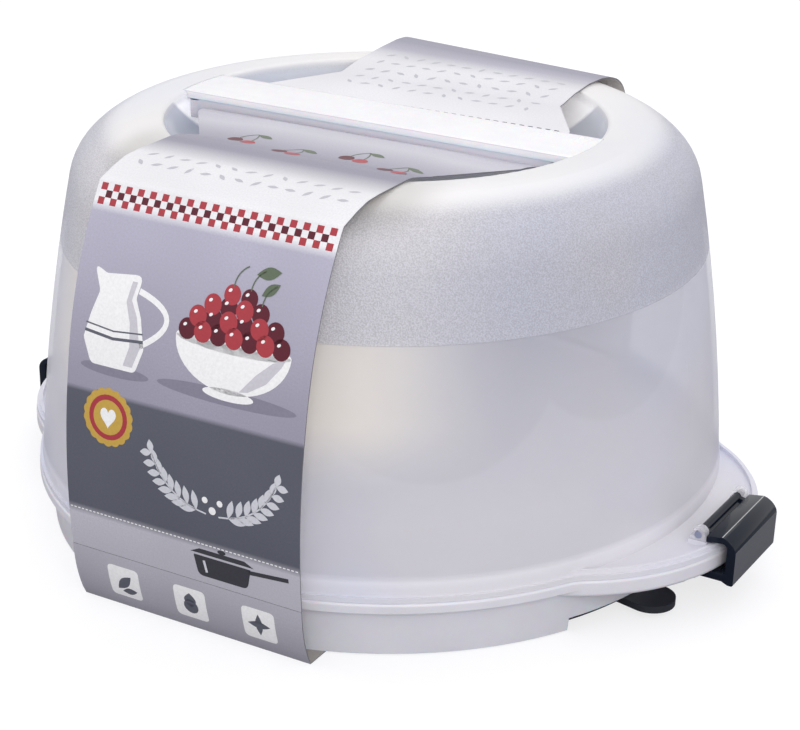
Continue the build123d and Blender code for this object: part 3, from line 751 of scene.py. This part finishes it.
def bar_piece(top_plastic, channel_plastic_painted_shade):
    """Handle bar: a plate with rounded edges that laps onto the hood, on a ribbed channel."""
    build = bmesh.new()

    def slab(outline, low, high, bevel):
        prism(build, [(x, y, low + CARD) for x, y in outline],
              [(x, y, high + CARD) for x, y in outline], bevel)

    def block(x0, x1, y0, y1, low, high, bevel):
        slab([(x0, y0), (x1, y0), (x1, y1), (x0, y1)], low, high, bevel)

    under, plate_low, neck_top, neck = 172.0, 180.5, 181.2, bar_outline(15.9, 95.3)
    slab(bar_outline(16.0, 99.1), plate_low, 184.0, 0.4)
    slab(neck, 180.2, neck_top, 0.0)
    for side in (-1, 1):
        # the channel's long wall and its closed end
        block(-89.4, 89.4, side * 14.75 - 1.2, side * 14.75 + 1.2, under, neck_top, 0.0)
        ends = [(side * x, side * y) for x, y in neck[:15]]
        slab(ends + [(side * 89.0, side * 15.9), (side * 89.0, side * -15.9)], under + 0.05,
             neck_top, 0.0)
        # the tab that snaps into the hood, with its barb
        block(*sorted((side * 94.0, side * 105.5)), -12.0, 12.0, 174.9, 178.1, 0.4)
        barb = [(104.1, 176.5), (104.1, 179.0), (105.6, 178.1), (105.6, 176.5)]
        prism(build, [(side * x, -12.0, h + CARD) for x, h in barb],
              [(side * x, 12.0, h + CARD) for x, h in barb])
    for i in range(-3, 4):      # ribs across the channel
        block(i * 22.35 - 0.9, i * 22.35 + 0.9, -13.3, 13.3, 174.5, 180.6, 0.2)
    # the channel under the plate takes the darker matt white as painted shade, and the plate's
    # rounded top edge takes it too, as a painted dark line along it
    for face in build.faces:
        height = face.calc_center_median().z - CARD
        rounded = height > 183.5 and face.normal.z < 0.9
        face.material_index = 1 if height < 181.0 or rounded else 0
    return finished(build, "handle_bar_moulding", [top_plastic, channel_plastic_painted_shade], "hood")


class CARRIER_OT_handle_bar(Operator):
    """Handle bar snapped across the recess"""
    bl_idname = "carrier.handle_bar"
    bl_label = "Handle bar"

    def execute(self, context):
        piece = bar_piece(
            moulded_plastic("polypropylene_white_glossy", colours().bar_white, roughness=0.22,
                            peel_mm=1.5, depth_mm=0.02, subsurface=0.3),
            # matt, and darker as painted shade under the plate
            moulded_plastic("polypropylene_white_matt_painted_shade", colours().bar_channel_painted_shade, roughness=0.5,
                            peel_mm=1.5, depth_mm=0.02, subsurface=0.2))
        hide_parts("handle_bar")
        return {"FINISHED"}


class CARRIER_OT_base(Operator):
    """White base with its foot ring and latch ears"""
    bl_idname = "carrier.base"
    bl_label = "Base"

    def execute(self, context):
        dress("base", moulded_plastic(
            "polypropylene_white_moulded", colours().base_white, roughness=0.34, peel_mm=1.2,
            depth_mm=0.03, subsurface=0.25))
        return {"FINISHED"}


class CARRIER_OT_cover(Operator):
    """Dark turning cover of the cooling compartment"""
    bl_idname = "carrier.cover"
    bl_label = "Compartment cover"

    def execute(self, context):
        dress("compartment_cover", moulded_plastic(
            "abs_anthracite_moulded", colours().cover_dark, roughness=0.4, peel_mm=0.8,
            depth_mm=0.04))
        return {"FINISHED"}


def clip_profile():
    """Outline of a clip in the plane of distance from the axis and height, without its knuckle.
    It starts with the panel's edge, the rim beside it, which carries a painted highlight, and the
    round shoulder."""
    eye, rim, out, wall, tip = 174.7, 181.4, 188.2, 184.2, 168.5
    top, under, hook, low = 34.2, 31.3, 18.2, 13.6
    rise, rim_width, bottom, count = 0.17, 0.45, 1.3, 10
    crest = top + rise * (rim - eye)
    shoulder = [(rim + rim_width + 6.35 * sin(t), crest - 6.6 * (1 - cos(t)) - 0.6 * sin(2 * t))
                for t in [pi / 2 * i / count for i in range(1, count + 1)]]
    ring = [(rim + rim_width, crest)] + shoulder + [
        (out, low), (out - 2.4, low), (wall - 1.2, low + bottom), (tip, low + bottom),
        (tip, hook), (wall, hook), (wall, under + rise * (wall - eye)), (eye, under),
        (eye, top), (rim, crest)]
    radii = [0.01] * (count + 1) + [1.0, 0.8, 1.2, 0.7, 0.5, 2.2, 2.6, 0.5, 0.4, 0.01]
    closed = soften(ring[-1:] + ring + ring[:1], radii, 8)[1:-1]
    line = []
    for point in closed:
        if not line or hypot(point[0] - line[-1][0], point[1] - line[-1][1]) > 0.03:
            line.append(point)
    return line


def clip_piece(name, side, body, materials):
    """A snap clip: bent plate with a hook, a sunk panel on top and the pin it turns on.
    materials are those of its polished faces, its outer face, the painted highlight on its rim
    and its pin's ends."""
    build = bmesh.new()

    def bar(points, y0, y1):
        prism(build, [(side * x, y0, h + CARD) for x, h in points],
              [(side * x, y1, h + CARD) for x, h in points])

    half = 23.75
    bar(clip_profile(), -half, half)
    for face in build.faces:
        middle, normal = face.calc_center_median(), face.normal
        if normal.x * side > 0.99 and abs(middle.x) > 188.0:
            face.material_index = 1
        # the narrow rim beside the panel takes a pale material: a painted highlight
        elif normal.z > 0.9 and 181.38 < abs(middle.x) < 181.9:
            face.material_index = 2
    # the sunk panel, which ends short of the clip's ends
    panel_half, sunk = 20.3, 0.45
    top = max(build.faces, key=lambda f: f.calc_area() * (
        f.normal.z > 0.9 and abs(f.calc_center_median().x) < 181.0))
    bmesh.ops.inset_individual(build, faces=[top], thickness=0.8, depth=0.0)
    for v in top.verts:
        v.co.y *= panel_half / abs(v.co.y)
    bmesh.ops.inset_individual(build, faces=[top], thickness=0.12, depth=-sunk)
    sharp = [e for e in build.edges if len(e.link_faces) == 2 and e.calc_face_angle(0) > SHARP]
    bmesh.ops.bevel(build, geom=sharp, offset=sizes().clip_edge / MM * 0.6, segments=3,
                    profile=0.5, affect="EDGES", clamp_overlap=True)

    # web between the lugs with a groove along it, then the pin, thinner within the lugs
    web, gap = 175.2, 19.3
    bar([(PIN_X, 32.9), (web, 31.6), (web, 32.8), (PIN_X, 34.0)], -gap, gap)
    for y0, y1 in ((-gap, -16.8), (16.8, gap)):
        bar([(PIN_X, 33.0), (web, 31.8), (web, 34.1), (PIN_X, 35.1)], y0, y1)
    for radius, reach in ((1.7, 24.1), (1.95, 19.2)):
        bar([(PIN_X + radius * cos(2 * pi * k / 24), PIN_H + radius * sin(2 * pi * k / 24))
             for k in range(24)], -reach, reach)
    for face in build.faces:
        if abs(face.calc_center_median().y) > 24.0:
            face.material_index = 3
    return finished(build, name, materials, body)


class CARRIER_OT_clips(Operator):
    """The two snap clips with their hinge pins"""
    bl_idname = "carrier.clips"
    bl_label = "Clips"

    def execute(self, context):
        polish = {"peel_mm": 0.9, "depth_mm": 0.01}
        plastics = [
            moulded_plastic("abs_anthracite_polished", colours().clip_dark, roughness=0.14,
                            specular=0.2, **polish),
            moulded_plastic("abs_anthracite_grained", colours().clip_face, roughness=0.55,
                            peel_mm=0.7, depth_mm=0.05),
            # a pale strip on the rim: painted highlight
            moulded_plastic("abs_anthracite_painted_highlight_rim", linear("#a9aaa8"), roughness=0.2,
                            **polish),
            moulded_plastic("abs_anthracite_pin_end", linear("#858ba3"), roughness=0.3,
                            **polish)]
        for name, side in (("clip_left", -1), ("clip_right", 1)):
            piece = clip_piece(name + "_shell", side, name, plastics)
            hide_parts(name)
        return {"FINISHED"}


class CARRIER_OT_sleeve(Operator):
    """Printed card sleeve, slit at the rim into an upper and a lower part"""
    bl_idname = "carrier.sleeve"
    bl_label = "Card sleeve"

    def execute(self, context):
        h, y = length_at_height, length_at_y
        total = MEAN_LENGTHS[-1]
        # the printed fields by the length at which they start: pale, slate, lilac, the top
        bands = [
            (0.0, "#b9b7c1"), (h(45.4), "#bebcc7"), (h(45.7), "#595b67"), (h(99.6), "#5c5e6a"),
            (h(99.8), "#f2f2f5"), (h(100.4), "#f2f2f5"), (h(100.6), "#9d9aac"),
            (h(135.0), "#a7a4b6"), (h(170.0), "#b2b0c2"), (h(170.4), "#efeef2"),
            (y(-126.0), "#e3e2e6"), (y(-106.0), "#e2e1e5"), (y(-98.0), "#c5c4cb"),
            (y(-86.0), "#8f8c9d"), (y(-72.0), "#918e9f"), (y(-56.0), "#a7a5b3"),
            (y(-36.0), "#c6c5cf"), (y(-26.0), "#c2c0cb"), (y(26.0), "#e4e3e8"),
            (y(55.0), "#dad9df"), (y(78.0), "#dfdee3"), (y(86.0), "#cfced5"),
            (y(95.0), "#acaab8"), (y(108.0), "#918fa0"), (y(122.0), "#8c899b"),
            (total, "#9d9aac")]
        printed = printed_card("carton_offset_printed_front", bands, total)
        # one bare board in two tones: paler inside the upper card as painted light, darker inside
        # the lower card as painted shade
        board = bare_card("carton_grey_board_inside_painted_light", "#e6e2dc", 0.9)
        low_board_painted_shade = bare_card("carton_grey_board_bottom_painted_shade", "#a7a39f", 0.9)
        core = bare_card("carton_cut_edge", "#77757c", 0.4)
        widths = [half_width(p[0]) if abs(p[0]) < 62 else SLEEVE_HALF for p in MEAN_LINE]
        upper = card_mesh("sleeve_upper_card", upper_line, widths, 36, [printed, board, core],
                          "hood", MEAN_LENGTHS, droop)
        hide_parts("sleeve_upper")
        lengths = along_lengths(LOW)
        total = lengths[-1]
        bands = [(0.0, "#b9b7c1"), (24.0, "#b3b1bc"), (32.0, "#a5a3ae"),
                 (total - 30.0, "#a5a3ae"), (total, "#b3b1bc")]
        printed = printed_card("carton_offset_printed_bottom", bands, total)
        lower = card_mesh("sleeve_lower_card", lambda share: LOW[::-1],
                          [SLEEVE_HALF] * len(LOW), 8, [printed, low_board_painted_shade, core], "base",
                          [total - length for length in lengths][::-1])
        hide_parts("sleeve_lower")
        return {"FINISHED"}


# ---------------------------------------------------------------- printed motifs
def turned_ring(x, y, turn, ring):
    """An outline turned by turn, in radians, and moved to a point."""
    return [(x + a * cos(turn) - b * sin(turn), y + a * sin(turn) + b * cos(turn))
            for a, b in ring]


def disc(x, y, rx, ry=None, turn=0.0, count=28):
    """Outline of an ellipse turned by turn degrees."""
    ry, t = ry or rx, radians(turn)
    angles = [2 * pi * i / count for i in range(count)]
    return turned_ring(x, y, t, [(rx * cos(angle), ry * sin(angle)) for angle in angles])


def leaf(x, y, length, width, turn, count=7):
    """Outline of a pointed leaf that starts at a point and grows in direction turn, degrees."""
    edge = [(length * i / count, width / 2 * sin(pi * i / count)) for i in range(count + 1)]
    return turned_ring(x, y, radians(turn), edge + [(a, -b) for a, b in edge[-2:0:-1]])


def stroke(points, width):
    """Outline of an open line drawn with a round-tipped pen."""
    left, right = offset_line(points, width / 2), offset_line(points, -width / 2)
    return left + right[::-1]


def bend(a, b, sag, count=8):
    """Points of a shallow curve from a to b that bulges to its left by sag."""
    across = Vector((a[1] - b[1], b[0] - a[0])).normalized()
    return [tuple(Vector(a).lerp(Vector(b), t) + across * sag * 4 * t * (1 - t))
            for t in [i / count for i in range(count + 1)]]


def rounded(ring, radius, count):
    """A closed outline with its corners rounded."""
    return soften([ring[-1]] + ring + [ring[0]], [radius] * len(ring), count)[1:-1]


def scalloped(x, y, radius, count=18):
    """Outline of a round label with a scalloped edge."""
    ring = []
    for i in range(count * 6):
        t = 2 * pi * i / (count * 6)
        r = radius * (0.94 + 0.06 * abs(sin(t * count / 2)))
        ring.append((x + r * cos(t), y + r * sin(t)))
    return ring


def on_lower(across, height, lift):
    """Point on the front of the lower card at a height above the foot."""
    line = offset_line(LOW[::-1], CARD)[::-1]
    for (y0, h0), (y1, h1) in zip(line, line[1:]):
        if h1 <= height <= h0:
            t = (height - h0) / (h1 - h0)
            along = Vector((y1 - y0, h1 - h0)).normalized()
            return skewed(across, y0 + (y1 - y0) * t + along.y * lift,
                          height - along.x * lift)
    raise ValueError(height)


def ink_patch(name, outlines, material, lift, body, place, cuts):
    """Flat patches of one ink, from closed outlines in mm across and along the card. They are
    cut along the lines where the card bends, so that they lie on it."""
    build = bmesh.new()
    for outline in outlines:
        build.faces.new([build.verts.new((a, b, 0)) for a, b in outline])
    bmesh.ops.triangulate(build, faces=build.faces[:])
    low, high = min(v.co.y for v in build.verts), max(v.co.y for v in build.verts)
    for cut in cuts:
        if low < cut < high:
            parts = build.verts[:] + build.edges[:] + build.faces[:]
            bmesh.ops.bisect_plane(build, geom=parts, plane_co=(0, cut, 0),
                                   plane_no=(0, 1, 0), dist=0.0001)
    for face in build.faces:
        face.normal_update()
        if face.normal.z < 0:
            face.normal_flip()
    for vert in build.verts:
        vert.co = place(vert.co.x, vert.co.y, lift)
    piece = finished(build, name, [material], body, 60.0)


def repeat_tree():
    """Geometry nodes: one motif repeated in rows, each turned a little at random."""
    tree = bpy.data.node_groups.new("motif_rows", "GeometryNodeTree")
    for name, kind, value in (
            ("Motif", "Object", None), ("Columns", "Int", 5), ("Rows", "Int", 1),
            ("Width", "Float", 0.1), ("Depth", "Float", 0.01), ("Turn", "Float", 0.0),
            ("Seed", "Int", 3), ("Ink", "Material", None)):
        socket = tree.interface.new_socket(name, in_out="INPUT", socket_type="NodeSocket" + kind)
        if value is not None:
            socket.default_value = value
    tree.interface.new_socket("Geometry", in_out="OUTPUT", socket_type="NodeSocketGeometry")
    given = add_node(tree, "NodeGroupInput").outputs
    grid = add_node(tree, "GeometryNodeMeshGrid", {
        "Size X": given["Width"], "Size Y": given["Depth"],
        "Vertices X": given["Columns"], "Vertices Y": given["Rows"]})
    least = add_node(tree, "ShaderNodeMath", {0: given["Turn"], 1: -1.0},
                     operation="MULTIPLY")
    low = add_node(tree, "ShaderNodeCombineXYZ", {"Z": least})
    high = add_node(tree, "ShaderNodeCombineXYZ", {"Z": given["Turn"]})
    turned = add_node(tree, "FunctionNodeRandomValue", {0: low, 1: high, "Seed": given["Seed"]},
                      data_type="FLOAT_VECTOR")
    motif = add_node(tree, "GeometryNodeObjectInfo", {"Object": given["Motif"]})
    spread = add_node(tree, "GeometryNodeInstanceOnPoints", {
        "Points": grid, "Instance": motif.outputs["Geometry"], "Rotation": turned})
    real = add_node(tree, "GeometryNodeRealizeInstances", {0: spread})
    inked = add_node(tree, "GeometryNodeSetMaterial", {
        "Geometry": real, "Material": given["Ink"]})
    add_node(tree, "NodeGroupOutput", {0: inked})
    return tree


def motif_rows(name, outlines, material, along, columns, width, rows=1, depth=0.0, turn=0.0,
               lift=0.04):
    """Repeats a small motif with the geometry nodes, in columns over a width and rows over a
    depth, in mm, and lays it on the upper card, with its middle at a length along it. Each
    motif is turned by up to turn degrees either way."""
    tree = bpy.data.node_groups.get("motif_rows") or repeat_tree()
    sockets = {socket.name: socket.identifier for socket in tree.interface.items_tree}
    build = bmesh.new()
    for outline in outlines:
        build.faces.new([build.verts.new((a * MM, b * MM, 0)) for a, b in outline])
    stamp_mesh = bpy.data.meshes.new(name + "_stamp")
    build.to_mesh(stamp_mesh)
    build.free()
    stamp = bpy.data.objects.new(name + "_stamp", stamp_mesh)
    carrier = bpy.data.objects.new(name, bpy.data.meshes.new(name + "_seed"))
    for obj in (stamp, carrier):
        bpy.context.scene.collection.objects.link(obj)
    modifier = carrier.modifiers.new("rows", "NODES")
    modifier.node_group = tree
    for key, value in (("Motif", stamp), ("Columns", columns), ("Rows", rows),
                       ("Width", width * MM), ("Depth", depth * MM), ("Turn", radians(turn)),
                       ("Seed", 3), ("Ink", material)):
        modifier[sockets[key]] = value
    shown = carrier.evaluated_get(bpy.context.evaluated_depsgraph_get())
    mesh = bpy.data.meshes.new_from_object(shown)
    carrier.modifiers.clear()
    carrier.data = mesh
    mesh.name = name
    for vert in mesh.vertices:
        vert.co = Vector(on_upper(vert.co.x / MM, vert.co.y / MM + along, lift)) * MM
    mesh.update()
    bpy.data.objects.remove(stamp)
    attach(carrier, "hood")


class CARRIER_OT_print(Operator):
    """Kitchen motifs printed on the sleeve: a ribbon of checks, a jug, cherries and leaves"""
    bl_idname = "carrier.print"
    bl_label = "Print"

    def execute(self, context):
        h, y = length_at_height, length_at_y
        inks = {key: offset_ink("offset_ink_" + key, code) for key, code in (
            ("red", "#a93a44"), ("cherry", "#5a1a2a"), ("white", "#f2f1f3"),
            ("shade", "#c9c6cf"), ("slate", "#5e606c"), ("gold", "#c6a24c"),
            ("green", "#5f6b58"), ("pale", "#cfd0d8"), ("shadow", "#868395"),
            ("grey", "#b9b8c1"), ("dark", "#3c3b43"))}

        # outlines are in mm across the card, and along it (top), up it (front) or up the lower
        # card (low); each layer of ink lies a little above the one before
        def top(name, outlines, key, layer):
            ink_patch("print_" + name, outlines, inks[key], 0.03 + 0.02 * layer, "hood",
                      on_upper, MEAN_LENGTHS)

        def front(name, outlines, key, layer):
            top(name, [[(x, h(z)) for x, z in outline] for outline in outlines], key, layer)

        def low(name, outlines, key, layer):
            ink_patch("print_" + name, outlines, inks[key], 0.03 + 0.02 * layer, "base",
                      on_lower, [height for _, height in LOW])

        # bowl of cherries on the lilac field
        front("ground", [disc(20, 110.5, 33, 3.2), disc(-34, 110.0, 17, 2.6)], "shadow", 0)
        bowl = [(21 + 27 * cos(t), 131 + 19 * sin(t))
                for t in [pi + pi * i / 24 for i in range(1, 24)]]
        front("bowl", [[(-6, 131)] + bowl + [(48, 131)], disc(21, 111.6, 12, 2.4),
                       disc(21, 131, 27, 3.6)], "white", 1)
        front("bowl_shade", [[(30, 114.6), (38, 119.5), (44, 127), (45.5, 130), (40, 128),
                              (33, 122), (26, 114.0)]], "shade", 2)
        pile = [(-1 + 7.3 * i, 133.5, 4.1) for i in range(7)]
        pile += [(3 + 7.2 * i, 139.0, 4.1) for i in range(6)]
        pile += [(9 + 7.4 * i, 144.3, 4.0) for i in range(4)]
        pile += [(17, 149.2, 3.8), (25, 148.8, 3.8)]
        front("cherries_dark", [disc(x, z, r) for x, z, r in pile[::2]], "cherry", 3)
        front("cherries_red", [disc(x, z, r) for x, z, r in pile[1::2]], "red", 4)
        front("cherries_shine", [disc(x - 1.3, z + 1.5, 0.9, 0.6, 30) for x, z, _ in pile],
              "white", 5)
        front("stems", [stroke(bend((x, z + 3), (x + 5, z + 11), 1.4), 0.55)
                        for x, z, _ in pile[-3:]]
              + [leaf(26, 158, 11, 4.6, 12), leaf(30, 151, 9, 4, 35)], "green", 6)
        # the jug beside it
        jug = [(-46, 111), (-24, 111), (-20.5, 121), (-23.5, 133), (-27, 140), (-25, 149),
               (-43, 147), (-49.5, 149.5), (-45, 140), (-48, 131), (-50.5, 121)]
        front("jug", [rounded(jug, 3.0, 4), stroke(bend((-26, 143), (-23, 122), 13.5, 14), 2.4)],
              "white", 1)
        front("jug_shade", [[(-30, 113), (-25.5, 113), (-22.5, 121), (-25.5, 133), (-29, 139),
                             (-27.5, 146), (-30, 146), (-31.5, 138), (-28.5, 130),
                             (-27.5, 121)]], "shade", 2)
        front("jug_band", [stroke([(-50.0, 124), (-36, 122.6), (-21.2, 124)], 1.2),
                           stroke([(-49.8, 127), (-36, 125.6), (-21.8, 127)], 0.6)], "slate", 3)
        # scalloped round label with a heart, across the edge of the slate field
        front("label_gold", [scalloped(-36, 90, 12.5)], "gold", 1)
        front("label_red", [disc(-36, 90, 9.6)], "red", 2)
        front("label_ring", [disc(-36, 90, 7.4)], "gold", 3)
        heart = [(-36 + 3.9 * sin(t) ** 3,
                  90.2 + 0.3 * (13 * cos(t) - 5 * cos(2 * t) - 2 * cos(3 * t) - cos(4 * t)))
                 for t in [2 * pi * i / 40 for i in range(40)]]
        front("label_heart", [heart], "white", 4)
        # sprigs on the slate field
        sprigs = []
        for side in (-1, 1):
            stem = bend((16 + side * 3, 60), (16 + side * 30, 80), -side * 5)
            sprigs.append(stroke(stem, 0.7))
            for k, (x, z) in enumerate(stem[1:]):
                sprigs += [leaf(x, z, 8.5 - 0.4 * k, 3.2, (90 - side * 55) + way * 42)
                           for way in (-1, 1)]
        front("sprigs", sprigs, "pale", 1)
        front("sprig_berries", [disc(16, 62, 1.7), disc(12.4, 66, 1.4), disc(19.6, 66, 1.4)],
              "white", 1)
        # a saucepan on the pale field
        pan = soften([(34, 40), (6, 40), (8, 30.5), (32, 30.5), (34, 40), (6, 40)],
                     [0.5, 3.0, 3.0, 0.5], 4)[1:-1]
        front("pan", [pan, stroke([(33, 38.6), (52, 40.2)], 1.9),
                      [(4.5, 41), (35.5, 41), (31, 43.2), (9, 43.2)],
                      disc(20, 44.1, 2.0, 1.0)], "dark", 1)
        front("pan_shine", [stroke([(11, 38), (12.2, 32.6)], 1.2)], "pale", 2)
        # checked ribbon below the fold, in three rows that are set off against each other
        side = 1.5
        check = [[(-side, -side), (side, -side), (side, side), (-side, side)]]
        for row in (0, 1, 2):
            odd = row % 2
            motif_rows(f"print_checks_{row}", check, inks["cherry" if odd else "red"],
                       h(170.8) + side + 2 * side * row, columns=19 - odd,
                       width=108.0 - 6.0 * odd)
        # leaves strewn over the top
        small = [leaf(-2.6, 0, 5.2, 1.9, 0)]
        motif_rows("print_leaves_front", small, inks["grey"], y(-111.0), columns=13,
                   width=96.0, rows=2, depth=9.0, turn=80.0)
        motif_rows("print_leaves_back", small, inks["grey"], y(66.0), columns=12,
                   width=92.0, rows=5, depth=38.0, turn=80.0)
        # pairs of cherries in front of the handle bar
        pairs = [(-34, y(-62.0)), (-6, y(-71.0)), (20, y(-60.0)), (44, y(-70.0))]
        top("pairs_dark", [disc(x - 3.6, s, 3.4) for x, s in pairs], "cherry", 1)
        top("pairs_red", [disc(x + 3.6, s - 1.5, 3.4) for x, s in pairs], "red", 1)
        top("pairs_stems", [
            stroke(bend((x - 3.4, s + 3), (x + 1, s + 12), 1.2), 0.6) for x, s in pairs] + [
            stroke(bend((x + 3.6, s + 1.6), (x + 1, s + 12), -0.8), 0.6) for x, s in pairs] + [
            leaf(x + 1, s + 12, 9, 3.8, -20) for x, s in pairs], "green", 2)
        # perforations behind the handle bar and along the lower edge of the slate field
        slit = [[(-1.3, 0), (-0.9, -0.28), (0.9, -0.28), (1.3, 0), (0.9, 0.28), (-0.9, 0.28)]]
        pitch = sizes().slit_pitch / MM
        count = int(150 / pitch)
        motif_rows("perforation_back", slit, inks["slate"], y(25.5), columns=count,
                   width=pitch * (count - 1), lift=0.02)
        stitch = [[(-0.6, -0.25), (0.6, -0.25), (0.6, 0.25), (-0.6, 0.25)]]
        motif_rows("perforation_front", stitch, inks["white"], h(45.6), columns=58,
                   width=112.0, lift=0.02)
        # tiles on the lower card
        square = rounded([(-8, -8), (8, -8), (8, 8), (-8, 8)], 2.5, 5)
        low("tiles", [[(x + a, 14 + b) for a, b in square] for x in (-32, 2, 36)], "white", 0)
        low("tile_leaves", [
            leaf(-36, 10, 11, 4.6, 45), leaf(-34, 9, 8, 3.4, 10), disc(2, 12.4, 3.6, 3.6),
            leaf(2, 12, 7.4, 6.0, 90), leaf(30.5, 14, 11, 3.6, 0),
            leaf(36, 8.5, 11, 3.6, 90)], "slate", 1)
        return {"FINISHED"}


STEPS = (CARRIER_OT_stage, CARRIER_OT_hood, CARRIER_OT_handle_bar, CARRIER_OT_base,
         CARRIER_OT_cover, CARRIER_OT_clips, CARRIER_OT_sleeve, CARRIER_OT_print)


class CARRIER_PT_panel(Panel):
    """Lists the carrier's settings and pieces"""
    bl_idname = "CARRIER_PT_panel"
    bl_label = "Cake carrier"
    bl_space_type = "VIEW_3D"
    bl_region_type = "UI"
    bl_category = "Carrier"

    def draw(self, context):
        for group in (context.scene.carrier_sizes, context.scene.carrier_colours):
            for key in group.__annotations__:
                self.layout.prop(group, key)
        for step in STEPS:
            self.layout.operator(step.bl_idname)


CLASSES = (CarrierColours, CarrierSizes) + STEPS + (CARRIER_PT_panel,)


def register():
    for cls in CLASSES:
        bpy.utils.register_class(cls)
    bpy.types.Scene.carrier_colours = PointerProperty(type=CarrierColours)
    bpy.types.Scene.carrier_sizes = PointerProperty(type=CarrierSizes)


def unregister():
    del bpy.types.Scene.carrier_sizes
    del bpy.types.Scene.carrier_colours
    for cls in reversed(CLASSES):
        bpy.utils.unregister_class(cls)


def main():
    register()
    for step in STEPS:
        family, _, action = step.bl_idname.partition(".")
        getattr(getattr(bpy.ops, family), action)()


if __name__ == "__main__":
    main()
